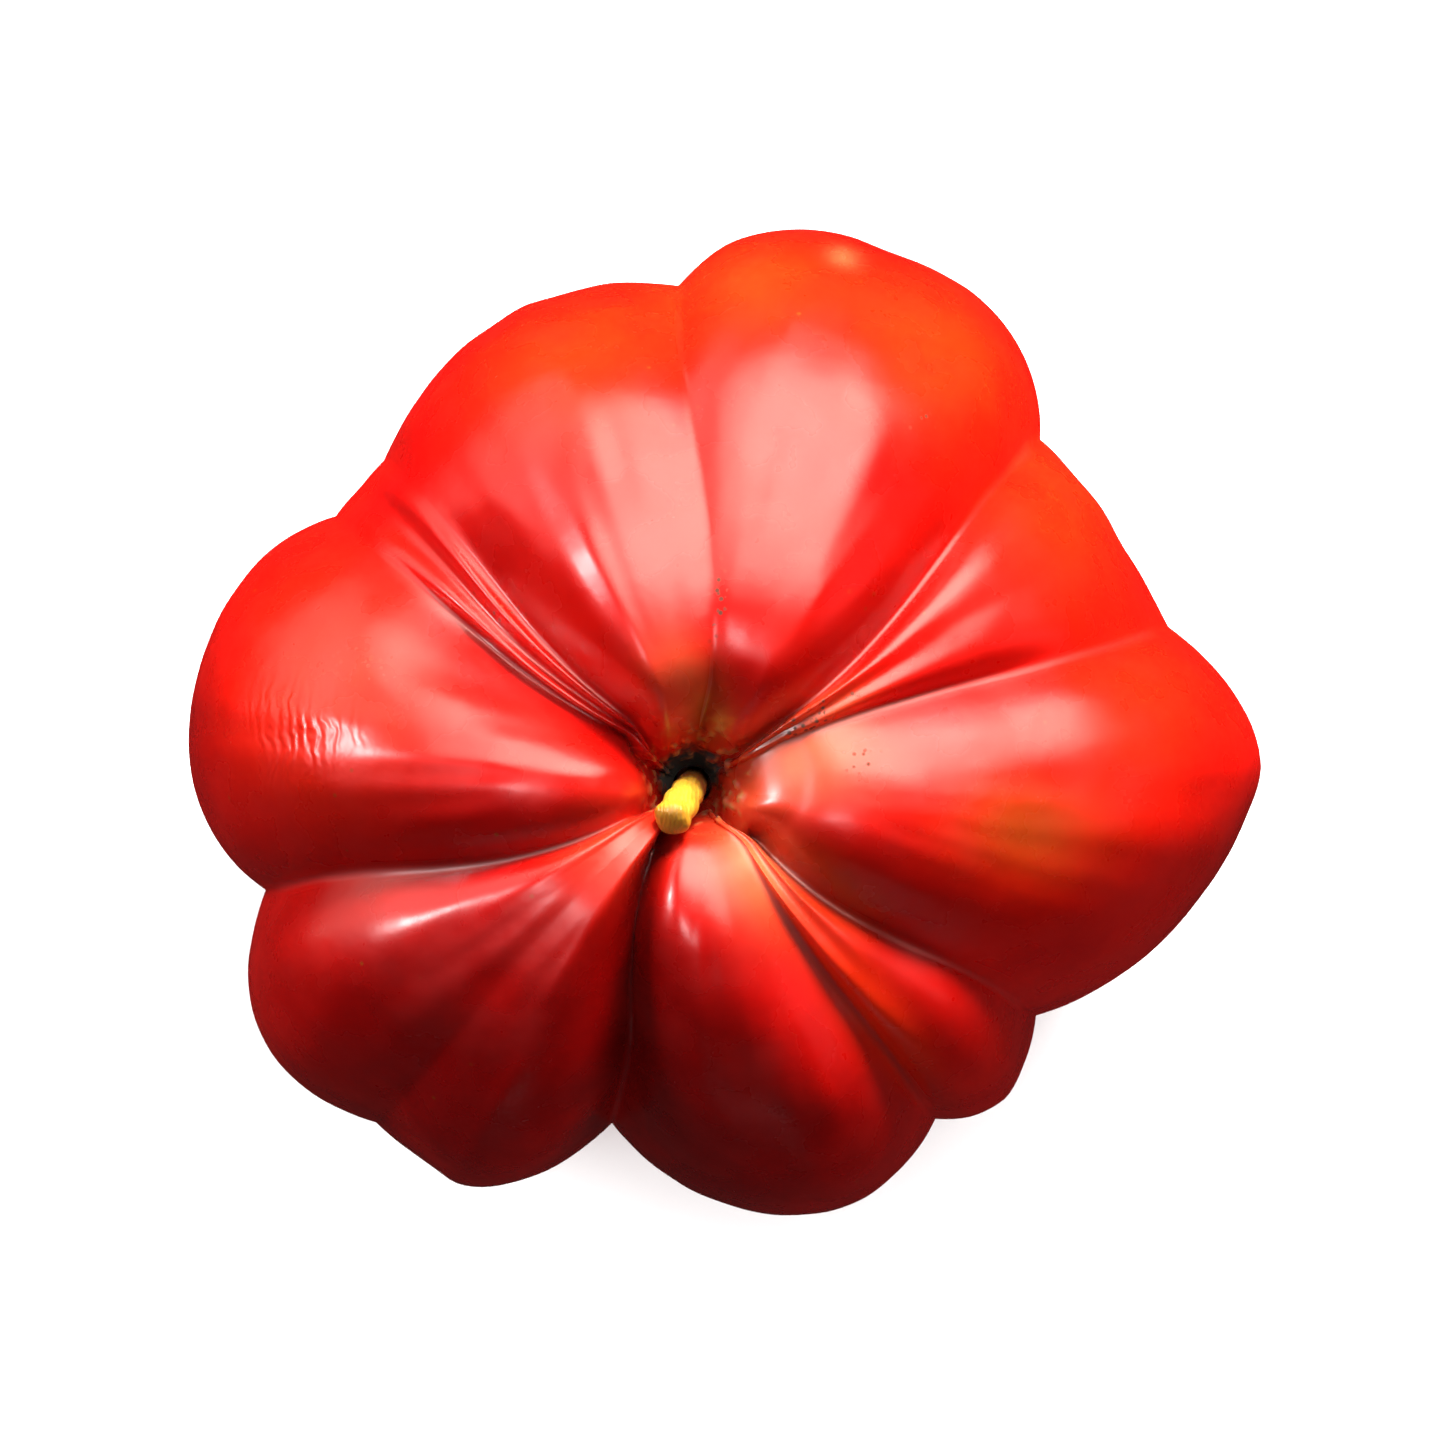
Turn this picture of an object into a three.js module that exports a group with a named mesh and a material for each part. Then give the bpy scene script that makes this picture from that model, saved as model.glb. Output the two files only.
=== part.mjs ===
// A candle cast in wax as a ribbed tomato, with its wick.
//
// The wax body is one solid. Its surface is a grid wrapped round the wick channel: each column runs up one
// meridian of the fruit, from the resting face over the rim and shoulder into the stem well, then back down
// the channel. The ribs are lobes that meet in creases, and a crease is pressed in from a smooth, lobeless
// fruit along its surface normal.
//
// Millimetres and degrees, +Z up. Angles are counted from +X towards +Y, round the creases' meeting point.

import * as THREE from "three";
import { ParametricGeometry } from "three/addons/geometries/ParametricGeometry.js";

// Driving dimensions of the wick and its channel, which stands a little off the point the creases meet at.
const WICK_RADIUS = 1.3;
const WICK_TIP_RADIUS = 1.6;
const WICK_GAP = 0.3;
const WICK_FOOT = 0.4;
const WICK_LEAN = 239;
const WICK_STUB = 9;
const CHANNEL_RADIUS = WICK_RADIUS + WICK_GAP;
const CHANNEL = new THREE.Vector3(-1.2, -1.3, 0);
const WELL_FLOOR = 45;

// The lobes in order round the fruit: where the crest points, how far it reaches at the rim, and how high
// its shoulder stands.
const LOBES = [
  { name: "right", crest: 0, reach: 49.0, shoulder: 54.5 },
  { name: "upper_right", crest: 31, reach: 42.2, shoulder: 53.5 },
  { name: "top", crest: 74, reach: 48.9, shoulder: 57.0 },
  { name: "upper_left", crest: 110, reach: 44.2, shoulder: 57.0 },
  { name: "sliver", crest: 141, reach: 39.7, shoulder: 51.5 },
  { name: "left", crest: 176, reach: 46.3, shoulder: 56.0 },
  { name: "lower_left", crest: 213, reach: 46.4, shoulder: 55.0 },
  { name: "lower", crest: 238, reach: 43.3, shoulder: 55.0 },
  { name: "bottom", crest: 286, reach: 41.0, shoulder: 54.5 },
  { name: "wedge", crest: 312, reach: 39.8, shoulder: 52.5 },
];

// The crease that follows each lobe. Few run straight, so each has an angle beside the well and another at
// the rim, and its own reach there. Blunt says how the outline falls off between the crest and the crease,
// from 1 for straight to 4 for boxy. The rest are its depths under the lobeless fruit: in the well, on the
// shoulder, on the brow between shoulder and rim, and on the underside.
const CREASES = [
  { inner: 22, outer: 17, reach: 43.2, blunt: 1.7, well: 0.6, top: 2.8, brow: 1.6, under: 0.6 },
  { inner: 32, outer: 44.5, reach: 41.8, blunt: 3.6, well: 2.6, top: 3.6, brow: 2.6, under: 1.0 },
  { inner: 86, outer: 93.5, reach: 43.2, blunt: 2.4, well: 1.0, top: 0.5, brow: 0.9, under: 0.6 },
  { inner: 147, outer: 136.5, reach: 39.7, blunt: 1.8, well: 2.2, top: 3.0, brow: 0.4, under: 0.2 },
  { inner: 156, outer: 146, reach: 39.8, blunt: 2.7, well: 3.2, top: 3.6, brow: 0.6, under: 0.6 },
  { inner: 212, outer: 195.5, reach: 40.8, blunt: 1.8, well: 2.2, top: 2.4, brow: 1.8, under: 1.2 },
  { inner: 223, outer: 227, reach: 43.2, blunt: 1.6, well: 0.0, top: 0.0, brow: 0.0, under: 0.2 },
  { inner: 235, outer: 255, reach: 32.8, blunt: 1.6, well: 4.0, top: 5.2, brow: 3.6, under: 1.0 },
  { inner: 297, outer: 303, reach: 37.6, blunt: 2.0, well: 0.6, top: 2.0, brow: 2.2, under: 0.8 },
  { inner: 306, outer: 323, reach: 36.8, blunt: 1.4, well: 4.0, top: 2.8, brow: 1.6, under: 1.0 },
];
const FLANK = 3; // how sharply a lobe's flank turns down into its crease
const VALLEY = 0.2; // and how softly the crease is rounded along its bottom

// The lobeless fruit's meridian, from the resting face to the well: shares of a lobe's reach, outwards from
// the channel's wall, and of its shoulder's height. The first point dips below the resting plane, so that
// cutting it off level leaves a flat spot whose edge follows the lobes.
const MERIDIAN = [
  [0.3, -0.025],
  [0.46, 0.0],
  [0.66, 0.045],
  [0.84, 0.13],
  [0.96, 0.27],
  [1.0, 0.43],
  [0.97, 0.6],
  [0.88, 0.76],
  [0.72, 0.885],
  [0.53, 0.955],
  [0.36, 0.992],
  [0.24, 1.0],
  [0.15, 0.985],
  [0.085, 0.94],
  [0.04, 0.87],
  [0.0, 0.79],
];
// A soft dent in the top of the right lobe.
const DENT = { angle: 350, out: 27, size: 6, depth: 0.7 };

// Places along the meridian, counted in its points.
const UNDERSIDE = 3;
const RIM = 5;
const BROW = 7;
const SHOULDER = 9;
const WELL = 13;

// Grid.
const DEGREES_A_COLUMN = 4.6;
const FEWEST_COLUMNS = 2;
const CROWDING = 1.3; // columns crowd towards the creases, where the surface turns fastest
const FACE_ROWS = 2;
const MERIDIAN_ROWS = 42;

const WICK_ROWS = 24;
const WICK_SIDES = 16;
const NUDGE = 0.01; // a small step along the meridian, for its tangent

const TURN = 360;
const UP = new THREE.Vector3(0, 0, 1);
const ORIGIN = new THREE.Vector2();
const radians = THREE.MathUtils.degToRad;
const mix = THREE.MathUtils.lerp;
const smooth = (x) => THREE.MathUtils.smoothstep(x, 0, 1);
const last = MERIDIAN.length - 1;
const meridian = new THREE.SplineCurve(MERIDIAN.map(([out, up]) => new THREE.Vector2(out, up)));

// Each lobe with its neighbours and the creases on both of its sides, as angles that only rise.
const sectors = LOBES.map((lobe, i) => {
  const past = i === 0 ? -TURN : 0;
  const neighbours = [LOBES.at(i - 1), LOBES[(i + 1) % LOBES.length]];
  const sides = [CREASES.at(i - 1), CREASES[i]];
  return {
    lobe,
    sides: sides.map((crease, k) => ({
      crease,
      neighbour: neighbours[k],
      inner: crease.inner + (k === 0 ? past : 0),
      outer: crease.outer + (k === 0 ? past : 0),
    })),
  };
});

// One meridian for each grid column: the side of a lobe it is on, and its share of the way to the crease.
function columnsOf({ lobe, sides }) {
  const middle = (sides[0].inner + sides[1].inner) / 2;
  return sides.flatMap((side, k) => {
    const count = Math.max(FEWEST_COLUMNS, Math.round(Math.abs(side.outer - lobe.crest) / DEGREES_A_COLUMN));
    const steps = Array.from({ length: count }, (_, n) => (k === 0 ? 1 - n / count : n / count));
    return steps.map((step) => ({ lobe, middle, side, share: 1 - (1 - step) ** CROWDING }));
  });
}
const columns = sectors.flatMap(columnsOf);

// How deep a crease is at a place along the meridian.
function depthAt(crease, place) {
  const stops = [
    [0, 0],
    [UNDERSIDE, crease.under],
    [RIM, 0],
    [BROW, crease.brow],
    [SHOULDER, crease.top],
    [WELL, crease.well],
    [last, 0],
  ];
  const n = Math.max(1, stops.findIndex(([at]) => place <= at));
  const [from, before] = stops[n - 1];
  const [to, after] = stops[n];
  return mix(before, after, smooth((place - from) / (to - from)));
}

// The distance from the meeting point and the height of the lobeless fruit on one meridian.
function plain(place, reach, shoulder) {
  const { x: out, y: up } = meridian.getPoint(THREE.MathUtils.clamp(place / last, 0, 1));
  const wellHeight = WELL_FLOOR / MERIDIAN[last][1];
  const height = up * mix(wellHeight, shoulder, smooth(out / MERIDIAN[WELL - 1][0]));
  return new THREE.Vector2(mix(CHANNEL_RADIUS, reach, out), height);
}

// How far the dent lowers a point of the top.
function dented({ x, y }, place) {
  const centre = new THREE.Vector2(DENT.out, 0).rotateAround(ORIGIN, radians(DENT.angle));
  const upward = smooth((place - RIM) / (BROW - RIM));
  return upward * DENT.depth * Math.exp(-centre.distanceToSquared({ x, y }) / DENT.size ** 2);
}

// A point of the wax's outer surface.
function waxPoint({ lobe, middle, side, share }, place, target) {
  const out = meridian.getPoint(place / last).x;
  const inward = place > RIM ? 1 - smooth(out / MERIDIAN[BROW][0]) : 0;
  const crestAngle = mix(lobe.crest, middle, inward);
  const angle = mix(crestAngle, mix(side.outer, side.inner, inward), share);

  const reach = mix(lobe.reach, side.crease.reach, share ** side.crease.blunt);
  const shoulder = mix(lobe.shoulder, (lobe.shoulder + side.neighbour.shoulder) / 2, smooth(share));
  const point = plain(place, reach, shoulder);
  const before = plain(place - NUDGE, reach, shoulder);
  const tangent = plain(place + NUDGE, reach, shoulder).sub(before).normalize();
  const pressed = Math.hypot(1, VALLEY) - Math.hypot(1 - share ** FLANK, VALLEY);
  const press = depthAt(side.crease, place) * pressed;
  point.x -= tangent.y * press;
  point.y = Math.max(point.y + tangent.x * press, 0);

  const turn = radians(angle);
  target.set(point.x * Math.cos(turn), point.x * Math.sin(turn), point.y);
  target.z -= dented(target, place);
  return target.addScaledVector(CHANNEL, 1 - smooth(out / MERIDIAN[WELL - 1][0]));
}

// The whole grid. Rows run out along the resting face, up the meridian, and down the channel to close.
function waxBody() {
  const rows = FACE_ROWS + MERIDIAN_ROWS + 1;
  const mouth = new THREE.Vector3();
  return new ParametricGeometry(
    (u, v, target) => {
      const column = columns[Math.round(u * columns.length) % columns.length];
      const row = Math.round(v * rows) % rows;
      waxPoint(column, (Math.max(row - FACE_ROWS, 0) / MERIDIAN_ROWS) * last, target);
      if (row < FACE_ROWS) {
        waxPoint(column, last, mouth);
        target.lerp(mouth.setZ(0), 1 - row / FACE_ROWS);
      }
    },
    columns.length,
    rows,
  );
}

// The wick stands in its channel, then leans out of the well towards the deep lower crease and thickens
// to a cut tip.
function wick() {
  const lean = (out, z) => new THREE.Vector3(out, 0, z).applyAxisAngle(UP, radians(WICK_LEAN)).add(CHANNEL);
  const route = new THREE.CatmullRomCurve3([
    lean(0, WICK_FOOT),
    lean(0, WELL_FLOOR / 3),
    lean(0, (WELL_FLOOR * 2) / 3),
    lean(0, WELL_FLOOR),
    lean(0.4, WELL_FLOOR + WICK_STUB * 0.38),
    lean(1.5, WELL_FLOOR + WICK_STUB * 0.7),
    lean(3.4, WELL_FLOOR + WICK_STUB),
  ]);
  const frames = route.computeFrenetFrames(WICK_ROWS);
  return new ParametricGeometry(
    (u, v, target) => {
      const row = Math.round(v * (WICK_ROWS + 2)) - 1;
      const ring = THREE.MathUtils.clamp(row, 0, WICK_ROWS);
      const at = route.getPointAt(ring / WICK_ROWS);
      const thickness = mix(WICK_RADIUS, WICK_TIP_RADIUS, smooth((at.z - WELL_FLOOR) / WICK_STUB));
      const radius = row === ring ? thickness : 0;
      target.copy(at).addScaledVector(frames.normals[ring], radius * Math.cos(u * Math.PI * 2));
      target.addScaledVector(frames.binormals[ring], radius * Math.sin(u * Math.PI * 2));
    },
    WICK_SIDES,
    WICK_ROWS + 2,
  );
}

const wax = new THREE.MeshStandardMaterial({ color: 0xc4080c, roughness: 0.16, metalness: 0 });
const yellowWax = new THREE.MeshStandardMaterial({ color: 0xf0c21a, roughness: 0.4, metalness: 0 });

const candle = new THREE.Group();
const body = new THREE.Mesh(waxBody(), wax);
body.name = "wax_body";
const wickMesh = new THREE.Mesh(wick(), yellowWax);
wickMesh.name = "wick";
candle.add(body, wickMesh);

// The origin is under the middle of the footprint, on the surface that the candle rests on.
const footprint = new THREE.Box3().setFromObject(body).getCenter(new THREE.Vector3());
candle.position.set(-footprint.x, -footprint.y, 0);

export default candle;
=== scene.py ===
"""Looks for a candle cast in wax as a ribbed tomato: its glossy dyed wax, its stem scar and its waxed wick.

Shapes are worked out in millimetres, round the point where the tomato's creases meet, and then set into the
frame's metres. Angles are in degrees from +X towards +Y.
"""

import math

import bpy
import numpy as np
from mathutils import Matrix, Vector, noise


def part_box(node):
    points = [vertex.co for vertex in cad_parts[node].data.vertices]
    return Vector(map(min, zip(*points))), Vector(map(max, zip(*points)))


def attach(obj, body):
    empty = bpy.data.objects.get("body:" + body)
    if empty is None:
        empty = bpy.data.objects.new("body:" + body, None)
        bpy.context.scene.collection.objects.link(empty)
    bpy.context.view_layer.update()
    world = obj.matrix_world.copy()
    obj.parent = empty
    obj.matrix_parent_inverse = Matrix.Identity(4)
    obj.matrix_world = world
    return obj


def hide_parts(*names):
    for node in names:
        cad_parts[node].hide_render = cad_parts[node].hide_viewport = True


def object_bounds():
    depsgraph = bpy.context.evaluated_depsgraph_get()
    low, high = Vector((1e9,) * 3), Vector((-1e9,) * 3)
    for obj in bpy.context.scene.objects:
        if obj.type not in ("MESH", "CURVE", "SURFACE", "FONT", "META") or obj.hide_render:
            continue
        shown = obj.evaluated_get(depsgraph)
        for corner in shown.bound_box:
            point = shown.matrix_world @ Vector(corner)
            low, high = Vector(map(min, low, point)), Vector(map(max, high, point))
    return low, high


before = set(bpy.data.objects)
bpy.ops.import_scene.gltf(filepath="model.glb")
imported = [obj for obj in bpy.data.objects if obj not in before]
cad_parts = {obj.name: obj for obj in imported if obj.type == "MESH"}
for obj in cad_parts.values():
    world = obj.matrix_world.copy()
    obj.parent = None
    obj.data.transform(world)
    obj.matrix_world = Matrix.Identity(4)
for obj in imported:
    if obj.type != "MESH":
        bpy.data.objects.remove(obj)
cad_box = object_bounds()

MM = 0.001
TURN = 360.0

# ---------------------------------------------------------------------------------------------- the fruit

# Crest angle, reach at the rim and shoulder height of each lobe, in order round the fruit.
LOBES = [
    (0, 49.0, 54.5),
    (31, 42.2, 53.5),
    (74, 48.9, 57.0),
    (110, 44.2, 57.0),
    (141, 39.7, 51.5),
    (176, 46.3, 56.0),
    (213, 46.4, 55.0),
    (238, 43.3, 55.0),
    (286, 41.0, 54.5),
    (312, 39.8, 52.5),
]

# The crease that follows each lobe: angle by the well and at the rim, reach, bluntness of the outline beside
# it, and depths in the well, on the shoulder, on the brow and on the underside.
CREASES = [
    (22, 17, 43.2, 1.7, 0.6, 2.8, 1.6, 0.6),
    (32, 44.5, 41.8, 3.6, 2.6, 3.6, 2.6, 1.0),
    (86, 93.5, 43.2, 2.4, 1.0, 0.5, 0.9, 0.6),
    (147, 136.5, 39.7, 1.8, 2.2, 3.0, 0.4, 0.2),
    (156, 146, 39.8, 2.7, 3.2, 3.6, 0.6, 0.6),
    (212, 195.5, 40.8, 1.8, 2.2, 2.4, 1.8, 1.2),
    (223, 227, 43.2, 1.6, 0.0, 0.0, 0.0, 0.2),
    (235, 255, 32.8, 1.6, 4.0, 5.2, 3.6, 1.0),
    (297, 303, 37.6, 2.0, 0.6, 2.0, 2.2, 0.8),
    (306, 323, 36.8, 1.4, 4.0, 2.8, 1.6, 1.0),
]
FLANK = 3.0
VALLEY = 0.2

# Shares of a lobe's reach and of its shoulder's height, from the resting face to the stem well.
MERIDIAN = np.array(
    [
        (0.3, -0.025),
        (0.46, 0.0),
        (0.66, 0.045),
        (0.84, 0.13),
        (0.96, 0.27),
        (1.0, 0.43),
        (0.97, 0.6),
        (0.88, 0.76),
        (0.72, 0.885),
        (0.53, 0.955),
        (0.36, 0.992),
        (0.24, 1.0),
        (0.15, 0.985),
        (0.085, 0.94),
        (0.04, 0.87),
        (0.0, 0.79),
    ]
)
UNDERSIDE, RIM, BROW, SHOULDER, WELL = 3, 5, 7, 9, 13
LAST = len(MERIDIAN) - 1

# A soft dent in the top of the right lobe: angle, distance out and size.
DENT = (350, 27, 6)
DENT_DEPTH = 0.7

WICK_RADIUS = 1.3
WICK_TIP_RADIUS = 1.6
CHANNEL_RADIUS = 1.6
# Where the wick's channel runs, from the point where the creases meet.
CHANNEL = np.array((-1.2, -1.3, 0.0))
WELL_FLOOR = 45.0
UNDERSIDE_TOP = 7.0
WICK_LEAN = math.radians(239)
WICK_STUB = 9.0

# Relief that the mould took from a real tomato: height and size of its lumps, ribs and corky crumbs.
LUMP, LUMP_SIZE = 0.42, 17
SMALL_LUMP, SMALL_LUMP_SIZE = 0.16, 7
RIB, RIB_SIZE = 0.18, 2.6
CORK, CRUMB_SIZE = 0.5, 0.8
# Ribs are laid out on a ring of this radius, each meridian point this far up from the last, and they grow
# from nothing over these shares of a lobe's reach.
RIB_RING = 30
RIB_STEP = 1.6
RIB_START, RIB_SPREAD = 0.1, 0.45
# Height over which the relief grows from nothing at the resting face, and share of reach beside the well.
FOOT_FADE = 6
WELL_START, WELL_SPREAD = 0.02, 0.2
# The ring of cork round the stem scar, as shares of a lobe's reach.
SCAR_RIM, SCAR_SPREAD = 0.085, 0.05
SCAR_HOLE, SCAR_HOLE_SPREAD = 0.005, 0.02

DEGREES_A_COLUMN = 0.95
LEAST_COLUMNS = 6
MERIDIAN_ROWS = 205
FACE_ROWS = 8
CHANNEL_ROWS = 4
# The step along the meridian that its tangent is taken over, counted in its points.
NUDGE = 0.01


def smooth(x):
    x = np.clip(x, 0.0, 1.0)
    return x * x * (3 - 2 * x)


def mix(a, b, t):
    return a + (b - a) * t


def meridian(place):
    """Catmull-Rom through MERIDIAN, at places counted in its points."""
    place = np.clip(place, 0, LAST)
    i = np.minimum(place.astype(int), LAST - 1)
    t = (place - i)[..., None]
    p0, p1, p2, p3 = (MERIDIAN[np.clip(i + k, 0, LAST)] for k in (-1, 0, 1, 2))
    v0, v1 = (p2 - p0) / 2, (p3 - p1) / 2
    return (2 * p1 - 2 * p2 + v0 + v1) * t**3 + (-3 * p1 + 3 * p2 - 2 * v0 - v1) * t**2 + v0 * t + p1


def column_table():
    """For each column: lobe crest, reach and shoulder, middle angle, neighbour's shoulder, share, crease."""
    table = []
    for i, (crest, reach, shoulder) in enumerate(LOBES):
        sides = []
        for k in (0, 1):
            crease = CREASES[i - 1 + k]
            neighbour = LOBES[(i - 1 + 2 * k) % len(LOBES)]
            turn = -TURN if (i == 0 and k == 0) else 0.0
            sides.append((crease, crease[0] + turn, crease[1] + turn, neighbour[2]))
        middle = (sides[0][1] + sides[1][1]) / 2
        for k, (crease, inner, outer, other_shoulder) in enumerate(sides):
            count = max(LEAST_COLUMNS, round(abs(outer - crest) / DEGREES_A_COLUMN))
            for n in range(count):
                share = 1 - n / count if k == 0 else n / count
                row = (crest, reach, shoulder, middle, inner, outer, other_shoulder, share)
                table.append(row + crease[2:])
    return np.array(table).T


def plain(place, reach, shoulder):
    """Distance out and height of the lobeless fruit."""
    out, up = np.moveaxis(meridian(place), -1, 0)
    well_height = WELL_FLOOR / MERIDIAN[LAST, 1]
    height = up * mix(well_height, shoulder, smooth(out / MERIDIAN[WELL - 1, 0]))
    return np.stack((mix(CHANNEL_RADIUS, reach, out), height), -1)


def crease_depth(place, well, top, brow, under):
    stops = ((0, 0), (UNDERSIDE, under), (RIM, 0), (BROW, brow), (SHOULDER, top), (WELL, well), (LAST, 0))
    depth = np.zeros(np.broadcast(place, well).shape)
    for (a, before), (b, after) in zip(stops, stops[1:]):
        here = (place >= a) & (place <= b)
        depth = np.where(here, mix(before, after, smooth((place - a) / (b - a))), depth)
    return depth


def wax_grid():
    """Points of the wax's outer surface, row by row up the meridian, and facts about each point's place."""
    columns = column_table()
    crest, reach0, shoulder0, middle, inner, outer, other_shoulder, share = columns[:8]
    crease_reach, blunt, well, top, brow, under = columns[8:]
    place = np.linspace(0, LAST, MERIDIAN_ROWS + 1)[:, None] + np.zeros(len(share))
    out = meridian(place)[..., 0]
    inward = np.where(place > RIM, 1 - smooth(out / MERIDIAN[BROW, 0]), 0)
    angle = mix(mix(crest, middle, inward), mix(outer, inner, inward), share)
    reach = mix(reach0, crease_reach, share**blunt) + np.zeros_like(place)
    shoulder = mix(shoulder0, (shoulder0 + other_shoulder) / 2, smooth(share))
    point = plain(place, reach, shoulder)
    tangent = plain(place + NUDGE, reach, shoulder) - plain(place - NUDGE, reach, shoulder)
    tangent /= np.linalg.norm(tangent, axis=-1, keepdims=True)
    depth = crease_depth(place, well, top, brow, under)
    press = depth * (np.hypot(1, VALLEY) - np.hypot(1 - share**FLANK, VALLEY))
    x = point[..., 0] - tangent[..., 1] * press
    z = np.maximum(point[..., 1] + tangent[..., 0] * press, 0)
    turn = np.radians(angle)
    fade = 1 - smooth(out / MERIDIAN[WELL - 1, 0])
    surface = np.stack((x * np.cos(turn), x * np.sin(turn), z), -1)
    surface[..., 2] -= DENT_DEPTH * smooth((place - RIM) / (BROW - RIM)) * spot(surface, *DENT)
    surface += CHANNEL * fade[..., None]
    return surface, {"out": out, "place": place, "angle": angle, "share": share + 0 * out, "depth": depth}


def normals_of(grid):
    """Outward normals of a grid that closes along its columns."""
    along = np.gradient(grid, axis=0)
    around = np.roll(grid, -1, axis=1) - np.roll(grid, 1, axis=1)
    n = np.cross(around, along)
    return n / np.maximum(np.linalg.norm(n, axis=-1, keepdims=True), 1e-9)


def noise_at(points, size, seed):
    """Smooth noise from -1 to 1 at each point, with features of about size millimetres."""
    shift = Vector((seed * 17.3, seed * 5.1, seed * 9.7))
    flat = points.reshape(-1, 3) / size
    return np.array([noise.noise(Vector(p) + shift) for p in flat]).reshape(points.shape[:-1])


def spot(grid, angle, r, size, stretch=1.0):
    """A soft round patch on the upper side, size across, drawn out along the meridian by stretch."""
    turn = math.radians(angle)
    dx = grid[..., 0] - r * math.cos(turn)
    dy = grid[..., 1] - r * math.sin(turn)
    along = (dx * math.cos(turn) + dy * math.sin(turn)) / stretch
    across = dy * math.cos(turn) - dx * math.sin(turn)
    upward = smooth((grid[..., 2] - UNDERSIDE_TOP) / (WELL_FLOOR / 2))
    return np.exp(-(along**2 + across**2) / size**2) * upward


def shaped(grid, facts):
    """Adds what a mould taken from a real tomato leaves: slow lumps, faint ribs and a corky scar."""
    out, angle = facts["out"], facts["angle"]
    standing = smooth(grid[..., 2] / FOOT_FADE)
    away = smooth((out - WELL_START) / WELL_SPREAD)
    lumps = LUMP * noise_at(grid, LUMP_SIZE, 1) + SMALL_LUMP * noise_at(grid, SMALL_LUMP_SIZE, 2)
    turn = np.radians(angle)
    ribs_at = np.stack((np.cos(turn) * RIB_RING, np.sin(turn) * RIB_RING, facts["place"] * RIB_STEP), -1)
    ribs = RIB * noise_at(ribs_at, RIB_SIZE, 3) * (1 - facts["share"]) ** 0.5
    ribs *= smooth((out - RIB_START) / RIB_SPREAD)
    crumbs = noise_at(grid, CRUMB_SIZE, 4)
    scar = smooth((SCAR_RIM - out) / SCAR_SPREAD) * smooth((out - SCAR_HOLE) / SCAR_HOLE_SPREAD)
    cork = scar * CORK * np.clip(crumbs - 0.05, 0, 1)
    lift = standing * away * (lumps + ribs) + cork
    return grid + normals_of(grid) * lift[..., None], scar * smooth((crumbs - 0.1) / 0.3)


def closed_mesh(name, rows, wrap_rows):
    """A mesh from rows of points that close round the columns. The rows close too, or end in flat faces."""
    height, width = rows.shape[:2]
    verts = rows.reshape(-1, 3)
    faces = []
    for r in range(height if wrap_rows else height - 1):
        a, b = r * width, ((r + 1) % height) * width
        faces += [(a + c, a + (c + 1) % width, b + (c + 1) % width, b + c) for c in range(width)]
    if not wrap_rows:
        faces.append(tuple(range(width - 1, -1, -1)))
        faces.append(tuple((height - 1) * width + c for c in range(width)))
    mesh = bpy.data.meshes.new(name)
    mesh.from_pydata(verts.tolist(), [], faces)
    mesh.validate()
    mesh.shade_smooth()
    return mesh


def attribute(mesh, name, values):
    mesh.attributes.new(name, "FLOAT", "POINT").data.foreach_set("value", values.astype(np.float32).ravel())


def add_object(name, mesh):
    obj = bpy.data.objects.new(name, mesh)
    bpy.context.scene.collection.objects.link(obj)
    return obj


def make_wax(grid, facts):
    skin, scar = shaped(grid, facts)
    foot, mouth = grid[0], grid[-1]
    on_floor = mouth * (1, 1, 0)
    face = [mix(on_floor, foot, n / FACE_ROWS) for n in range(FACE_ROWS)]
    channel = [mix(mouth, on_floor, n / CHANNEL_ROWS) for n in range(1, CHANNEL_ROWS)]
    rows = np.concatenate((np.array(face), skin, np.array(channel)))
    mesh = closed_mesh("wax", (rows + SHIFT) * MM, True)

    def known(values):
        """The outer surface's values, with none on the resting face or in the channel."""
        return np.pad(values, ((FACE_ROWS, CHANNEL_ROWS - 1), (0, 0)))

    # Deep creases get painted shade, and the bottoms of shallow ones are less glossy.
    crease_shade = facts["share"] ** 3.5 * smooth((facts["depth"] - 1.5) / 3.5)
    attribute(mesh, "crease", known(crease_shade))
    shallow = facts["share"] ** 8 * smooth(facts["depth"] / 1.5) * (1 - crease_shade)
    attribute(mesh, "groove", known(shallow))
    attribute(mesh, "scar", known(scar))
    for name, patches in PATCHES.items():
        strength = sum(spot(grid, *patch) * weight for weight, *patch in patches)
        attribute(mesh, name, known(np.clip(strength, 0, 1)))
    return add_object("tomato_wax", mesh)
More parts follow.
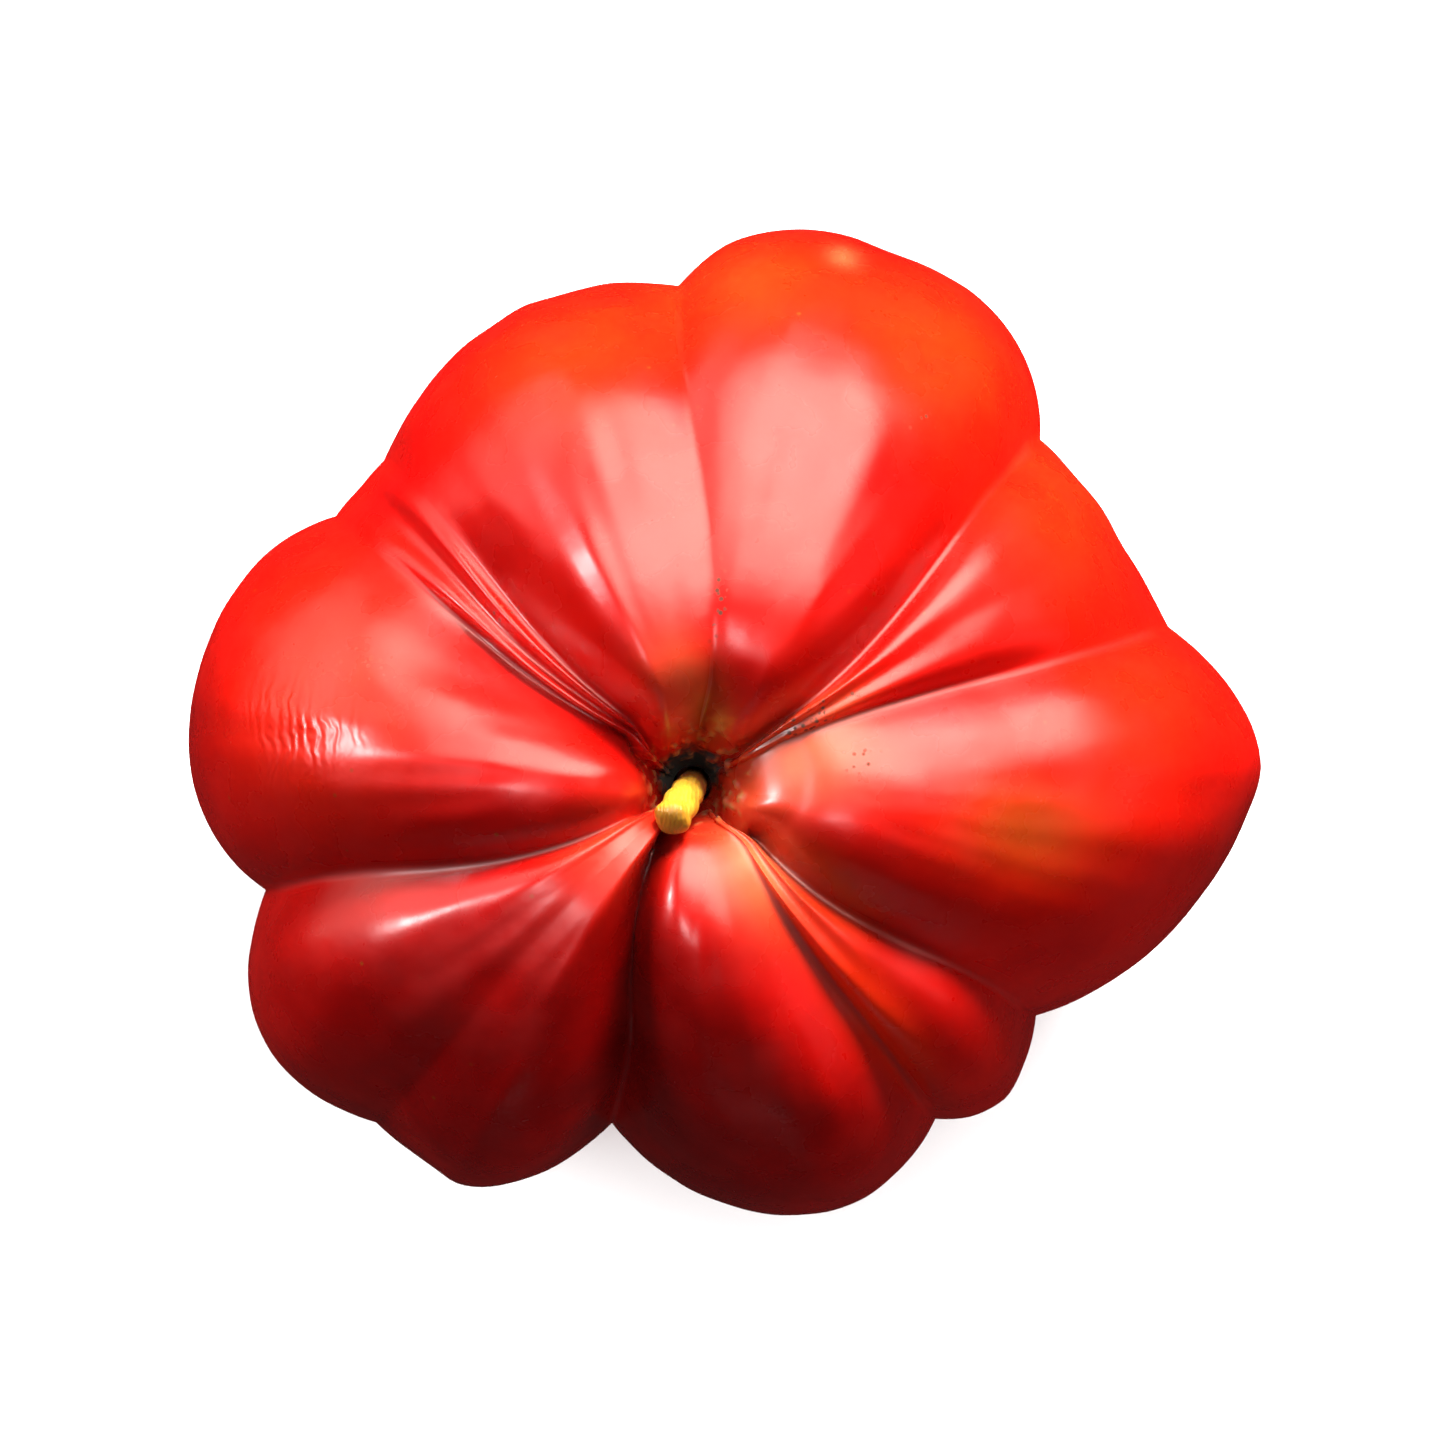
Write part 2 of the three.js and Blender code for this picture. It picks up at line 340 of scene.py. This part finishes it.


# Where the dye runs to other colours, where light, sheen and shade are painted on, and where the skin is
# flecked
# or ridged: weight, angle, distance out, size, and how drawn out it is.
PATCHES = {
    # painted light: the upper rims lit and hazed by reflection, and a lit sliver low on the right
    "painted_light": [
        (0.7, 60, 40, 8.0, 0.8),
        (0.5, 36, 38, 7.0, 1.0),
        (0.3, 6, 37, 8.0, 1.0),
        (0.8, 305, 23, 2.2, 4.0),
        (0.7, 84, 41, 8.0, 0.6),
        (0.5, 108, 36, 9.0, 0.7),
        (0.4, 170, 32, 8.0, 1.0),
    ],
    # painted sheen and highlights: pale lit noses by the well and a painted highlight on the top rim
    "painted_sheen": [
        (0.9, 298, 8.5, 3.0, 1.7),
        (0.9, 4, 7.0, 3.0, 1.9),
        (0.6, 106, 7.5, 2.6, 1.5),
        (0.5, 26, 11, 1.6, 2.4),
        (0.6, 75, 45.6, 1.3, 0.8),
        (0.2, 218, 9, 3.5, 1.5),
    ],
    "olive": [
        (0.8, 90, 4.8, 1.7, 1.6),
        (0.6, 350, 27, 4.0, 1.5),
        (0.4, 318, 14, 2.0, 2.5),
    ],
    # painted shade: the two lower lobes darker, where the light from above falls away
    "painted_lobe_shade": [
        (1.0, 226, 34, 20.0, 1.0),
        (1.0, 277, 33, 16.0, 1.2),
    ],
    # painted shadow: the pit round the wick near black
    "pit": [(1.0, 190, 1.3, 2.7, 1.3)],
    "flecks": [
        (1.0, 27, 10.5, 1.3, 4.0),
        (0.9, 86, 14, 1.2, 4.0),
        (0.8, 58, 34, 2.4, 1.0),
        (0.8, 3, 13, 2.4, 1.5),
        (0.7, 142, 22, 2.6, 2.0),
        (0.7, 163, 30, 3.0, 1.5),
    ],
    "ticks": [(1.0, 175, 34, 3.6, 1.0)],
}

# ----------------------------------------------------------------------------------------------- the wick

WICK_ROUTE = [
    (0.0, 0.4),
    (0.0, WELL_FLOOR / 3),
    (0.0, WELL_FLOOR * 2 / 3),
    (0.0, WELL_FLOOR),
    (0.4, WELL_FLOOR + WICK_STUB * 0.38),
    (1.5, WELL_FLOOR + WICK_STUB * 0.7),
    (3.4, WELL_FLOOR + WICK_STUB),
]
WICK_SIDES = 48
WICK_ROWS = 420
STRANDS = 4
BRAID_PITCH = 5.0
BRAID_DEPTH = 0.10
# Lengths of the wick, back from its cut end, that are rounded off and that get painted shade in amber.
TIP_ROUNDING = 0.7
TIP_SHADE = 3.2


def wick_line(steps):
    """Evenly spaced points up the wick, as distance out along its lean and height."""
    route = np.array(WICK_ROUTE)
    ends = np.vstack((2 * route[0] - route[1], route, 2 * route[-1] - route[-2]))
    t = np.linspace(0, len(route) - 1, 600)
    i = np.minimum(t.astype(int), len(route) - 2)
    f = (t - i)[:, None]
    p0, p1, p2, p3 = (ends[i + k] for k in range(4))
    line = p1 + 0.5 * f * (p2 - p0 + f * (2 * p0 - 5 * p1 + 4 * p2 - p3 + f * (3 * (p1 - p2) + p3 - p0)))
    run = np.concatenate(([0], np.cumsum(np.linalg.norm(np.diff(line, axis=0), axis=1))))
    at = np.linspace(0, run[-1], steps)
    return np.stack([np.interp(at, run, line[:, k]) for k in (0, 1)], -1), at


def make_wick():
    """A braid under a thin coat of wax, thicker towards a cut tip whose rim is rounded."""
    line, run = wick_line(WICK_ROWS)
    step = np.gradient(line, axis=0)
    step /= np.linalg.norm(step, axis=1, keepdims=True)
    length = run[-1]
    stub = smooth((line[:, 1] - WELL_FLOOR) / WICK_STUB)
    radius = mix(WICK_RADIUS, WICK_TIP_RADIUS, stub)
    tip = np.clip((length - run) / TIP_ROUNDING, 0, 1)
    radius *= np.sqrt(1 - 0.75 * (1 - tip) ** 2)
    a = np.linspace(0, 2 * math.pi, WICK_SIDES, endpoint=False)
    twist = 2 * math.pi * run[:, None] / BRAID_PITCH
    braid = np.abs(np.sin(STRANDS / 2 * a + twist)) * np.abs(np.sin(STRANDS / 2 * a - twist))
    r = radius[:, None] * (1 - BRAID_DEPTH + BRAID_DEPTH * braid)
    side = np.array((math.cos(WICK_LEAN), math.sin(WICK_LEAN), 0))
    cross = np.array((-math.sin(WICK_LEAN), math.cos(WICK_LEAN), 0))
    up = np.array((0, 0, 1))
    centre = line[:, :1] * side + line[:, 1:] * up + CHANNEL
    normal = step[:, 1:] * side - step[:, :1] * up
    ring = r[..., None] * (np.cos(a)[:, None] * normal[:, None] + np.sin(a)[:, None] * cross)
    mesh = closed_mesh("wick", (centre[:, None] + ring + SHIFT) * MM, False)
    attribute(mesh, "tip", np.repeat(smooth((run - length + TIP_SHADE) / TIP_SHADE), WICK_SIDES))
    return add_object("waxed_wick", mesh)


# ---------------------------------------------------------------------------------------------- materials


class Nodes:
    """A material's node tree, with short calls to add to it."""

    def __init__(self, name):
        self.material = bpy.data.materials.new(name)
        self.material.use_nodes = True
        self.tree = self.material.node_tree
        self.shader = self.tree.nodes["Principled BSDF"]
        self.place = self.add("ShaderNodeTexCoord").outputs["Object"]

    def add(self, kind, inputs=None, **settings):
        node = self.tree.nodes.new(kind)
        for key, value in settings.items():
            setattr(node, key, value)
        for key, value in (inputs or {}).items():
            self.put(node.inputs[key], value)
        return node

    def put(self, socket, value):
        if isinstance(value, bpy.types.NodeSocket):
            self.tree.links.new(value, socket)
        else:
            socket.default_value = value

    def set(self, **inputs):
        for key, value in inputs.items():
            self.put(self.shader.inputs[key.replace("_", " ")], value)

    def read(self, name):
        return self.add("ShaderNodeAttribute", attribute_name=name).outputs["Fac"]

    def noise(self, scale, detail=3.0, at=None):
        inputs = {"Vector": at or self.place, "Scale": scale, "Detail": detail}
        return self.add("ShaderNodeTexNoise", inputs).outputs["Fac"]

    def ramp(self, value, low, high, bottom=0.0, top=1.0):
        inputs = {0: value, 1: low, 2: high, 3: bottom, 4: top}
        return self.add("ShaderNodeMapRange", inputs, interpolation_type="SMOOTHSTEP").outputs[0]

    def math(self, operation, a, b):
        return self.add("ShaderNodeMath", {0: a, 1: b}, operation=operation).outputs[0]

    def blend(self, amount, a, b):
        node = self.add("ShaderNodeMix", data_type="RGBA")
        self.put(node.inputs[0], amount)
        self.put(node.inputs[6], a)
        self.put(node.inputs[7], b)
        return node.outputs[2]

    def bump(self, height, strength, distance, normal=None):
        inputs = {"Height": height, "Strength": strength, "Distance": distance}
        if normal:
            inputs["Normal"] = normal
        return self.add("ShaderNodeBump", inputs).outputs["Normal"]


def red_wax():
    """Dye in clouds and patches, painted light, sheen and shade in patches, with pores, flecks, the pit that
    the wick stands in with painted shadow, and the corky scar.
    """
    n = Nodes("red_wax")
    deep = (0.66, 0.0035, 0.001, 1)
    dark = (0.50, 0.0010, 0.001, 1)
    painted_lobe_shade = (0.30, 0.0005, 0.0007, 1)
    shade = (0.15, 0.0004, 0.0008, 1)
    painted_light = (0.86, 0.029, 0.0015, 1)
    painted_sheen = (0.72, 0.11, 0.035, 1)
    olive = (0.24, 0.060, 0.003, 1)
    painted_pit_shadow = (0.012, 0.005, 0.002, 1)
    cork = (0.46, 0.22, 0.07, 1)
    rust = (0.07, 0.018, 0.003, 1)
    cloud = n.noise(70, 4)
    colour = n.blend(n.ramp(cloud, 0.35, 0.75), deep, dark)
    mottle = n.ramp(n.noise(160, 5), 0.3, 0.6, 0.7, 1.0)
    # Painted shade, painted light and painted sheen from the patches, then the olive tint, over the clouded
    # dye.
    for name, tint in (("painted_lobe_shade", painted_lobe_shade), ("painted_light", painted_light), ("painted_sheen", painted_sheen), ("olive", olive)):
        colour = n.blend(n.math("MULTIPLY", n.read(name), mottle), colour, tint)
    # Painted shade in the deep creases.
    colour = n.blend(n.math("MULTIPLY", n.read("crease"), 0.7), colour, shade)

    cells = n.add("ShaderNodeTexVoronoi", {"Vector": n.place, "Scale": 330.0, "Randomness": 1.0})
    pore = n.ramp(cells.outputs["Distance"], 0.03, 0.09, 1.0, 0.0)
    pored = n.math("MULTIPLY", pore, n.ramp(n.noise(55, 2), 0.5, 0.66))
    colour = n.blend(n.math("MULTIPLY", pored, 0.6), colour, olive)
    dots = n.add("ShaderNodeTexVoronoi", {"Vector": n.place, "Scale": 1700.0, "Randomness": 1.0})
    dot = n.ramp(dots.outputs["Distance"], 0.2, 0.42, 1.0, 0.0)
    fleck = n.math("MULTIPLY", dot, n.ramp(n.read("flecks"), 0.35, 0.8))
    fleck = n.math("MULTIPLY", fleck, n.ramp(n.noise(600, 2), 0.42, 0.5))
    colour = n.blend(n.math("MULTIPLY", fleck, 0.95), colour, rust)
    # Painted shadow, near black, in the pit round the wick.
    pit = n.ramp(n.math("ADD", n.read("pit"), n.ramp(n.noise(500, 3), 0.2, 0.8, -0.2, 0.2)), 0.4, 0.7)
    colour = n.blend(pit, colour, painted_pit_shadow)
    scar = n.math("MULTIPLY", n.read("scar"), n.ramp(n.noise(1500, 4), 0.4, 0.6, 0.3, 1.0))
    colour = n.blend(scar, colour, cork)

    rough = n.ramp(n.noise(180, 4), 0.3, 0.75, 0.24, 0.34)
    duller = (
        (n.read("scar"), 0.6),
        (pit, 0.8),
        (n.read("painted_sheen"), 0.5),
        (fleck, 0.8),
        (n.read("groove"), 0.55),
    )
    for where, roughness in duller:
        rough = n.math("MAXIMUM", rough, n.math("MULTIPLY", where, roughness))

    tick = n.add("ShaderNodeTexWave", {"Vector": n.place, "Scale": 330.0, "Distortion": 9.0, "Detail": 2.0})
    ticked = n.math("MULTIPLY", tick.outputs["Fac"], n.read("ticks"))
    normal = n.bump(n.noise(110, 2), 0.12, 0.0012)
    normal = n.bump(n.noise(900, 2), 0.05, 0.0003, normal)
    normal = n.bump(ticked, 0.35, 0.0002, normal)
    normal = n.bump(n.math("ADD", pored, fleck), -0.5, 0.0002, normal)
    n.set(Base_Color=colour, Roughness=rough, Normal=normal, IOR=1.45)
    n.set(Subsurface_Weight=0.25, Subsurface_Scale=0.004, Subsurface_Radius=(1.0, 0.12, 0.06))
    return n.material


def yellow_wax():
    """Streaky yellow wax over cotton, with painted shade in amber at the cut end."""
    n = Nodes("yellow_wax")
    lemon = (0.72, 0.41, 0.035, 1)
    honey = (0.68, 0.34, 0.015, 1)
    amber = (0.42, 0.17, 0.008, 1)
    streak = n.ramp(n.noise(700, 4), 0.35, 0.7)
    colour = n.blend(streak, lemon, honey)
    # Painted shade: amber towards the cut end.
    colour = n.blend(n.math("MULTIPLY", n.read("tip"), 0.8), colour, amber)
    wave = {"Vector": n.place, "Scale": 900.0, "Distortion": 6.0, "Detail": 3.0}
    fibres = n.add("ShaderNodeTexWave", wave)
    normal = n.bump(fibres.outputs["Fac"], 0.25, 0.00015)
    normal = n.bump(n.noise(1400, 3), 0.2, 0.0002, normal)
    n.set(Base_Color=colour, Roughness=n.ramp(streak, 0, 1, 0.34, 0.5), Normal=normal)
    n.set(Subsurface_Weight=0.3, Subsurface_Scale=0.0015, Subsurface_Radius=(1.0, 0.7, 0.2))
    return n.material


def floor_paper():
    n = Nodes("floor_paper")
    tone = n.ramp(n.noise(9, 3), 0.2, 0.8)
    colour = n.blend(tone, (0.90, 0.90, 0.90, 1), (0.87, 0.87, 0.87, 1))
    n.set(Base_Color=colour, Roughness=0.9, Specular_IOR_Level=0.1)
    return n.material


# -------------------------------------------------------------------------------------------------- scene


def make_stage():
    """A pale floor. Its own bounce is left out, so that it doesn't haze the wax's gloss."""
    size = 2.5
    mesh = bpy.data.meshes.new("floor")
    corners = [(-size, -size, 0), (size, -size, 0), (size, size, 0), (-size, size, 0)]
    mesh.from_pydata(corners, [], [(0, 1, 2, 3)])
    floor = add_object("floor", mesh)
    floor.data.materials.append(floor_paper())
    floor.visible_diffuse = False
    floor.visible_glossy = False
    return floor


def area_light(name, at, aim, size, power, shade=True, shine=True, tint=(1, 1, 1)):
    """A soft rectangular light: shade says whether it lights surfaces, shine whether gloss reflects it."""
    light = bpy.data.lights.new(name, "AREA")
    light.shape = "RECTANGLE"
    light.size, light.size_y = size
    light.energy = power
    light.color = tint
    obj = add_object(name, light)
    obj.location = at
    obj.rotation_euler = (Vector(aim) - Vector(at)).to_track_quat("-Z", "Y").to_euler()
    obj.visible_diffuse = shade
    obj.visible_glossy = shine
    obj.visible_camera = False
    return obj


# The tint of the softboxes that the gloss reflects.
WARM = (1.0, 0.94, 0.81)


def make_lights(floor):
    """Lights that shade the wax, lights that only its gloss shows, and a wash for the floor alone."""
    top = Vector((0, 0, cad_box[1][2]))
    area_light("key", (0.34, 1.18, 0.56), top, (0.55, 0.55), 84, shine=False)
    area_light("fill", (-0.98, 0.78, 0.50), top, (0.70, 0.50), 19, shine=False)
    area_light("side", (1.10, -0.15, 0.50), top, (0.50, 0.50), 4, shine=False)
    area_light("front", (-0.15, -1.20, 0.22), top, (0.70, 0.50), 3, shine=False)
    area_light("panel", (0.20, 0.68, 0.90), top, (1.00, 0.85), 36, shade=False, tint=WARM)
    area_light("panel_edge", (0.20, 0.68, 0.90), top, (1.50, 1.25), 33, shade=False, tint=WARM)
    area_light("board", (-1.00, 0.80, 0.42), top, (1.6, 1.1), 12, shade=False, tint=WARM)
    area_light("window", (-0.85, 0.16, 0.66), top, (0.08, 0.09), 6, shade=False)
    area_light("lamp", (-0.26, -0.20, 0.95), top, (0.10, 0.07), 1.5, shade=False)
    area_light("bounce", (-0.2, 0.25, 0.001), (-0.2, 0.25, 1), (1.0, 1.0), 0.8, shine=False)
    wash = area_light("floor_wash", (0, 0, 2.2), top, (2.5, 2.5), 84, shine=False)
    lit = bpy.data.collections.new("lit_by_wash")
    lit.objects.link(floor)
    wash.light_linking.receiver_collection = lit
    world = bpy.data.worlds.new("studio")
    world.use_nodes = True
    sky = world.node_tree.nodes["Background"].inputs
    sky["Color"].default_value = (1, 1, 1, 1)
    sky["Strength"].default_value = 0.015
    bpy.context.scene.world = world
    bpy.context.scene.view_settings.view_transform = "Standard"


def make_camera():
    """Straight down on the middle of the candle, with the image's top towards +Y."""
    low, high = (Vector(corner) for corner in cad_box)
    centre = (low + high) / 2
    camera = bpy.data.cameras.new("camera")
    camera.lens = 100
    camera.sensor_width = 36
    share_filled = 0.74
    rim_height = high[2] * 0.45
    distance = (high[0] - low[0]) / share_filled * camera.lens / camera.sensor_width
    obj = add_object("camera", camera)
    obj.location = (centre[0], centre[1], rim_height + distance)
    bpy.context.scene.camera = obj


grid, facts = wax_grid()
low, high = (np.array(corner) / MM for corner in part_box("wax_body"))
SHIFT = (low + high) / 2 - (grid.reshape(-1, 3).min(0) + grid.reshape(-1, 3).max(0)) / 2
SHIFT[2] = 0

wax = make_wax(grid, facts)
wax.data.materials.append(red_wax())
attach(wax, "root")
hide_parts("wax_body")

wick = make_wick()
wick.data.materials.append(yellow_wax())
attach(wick, "root")
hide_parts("wick")

make_lights(make_stage())
make_camera()
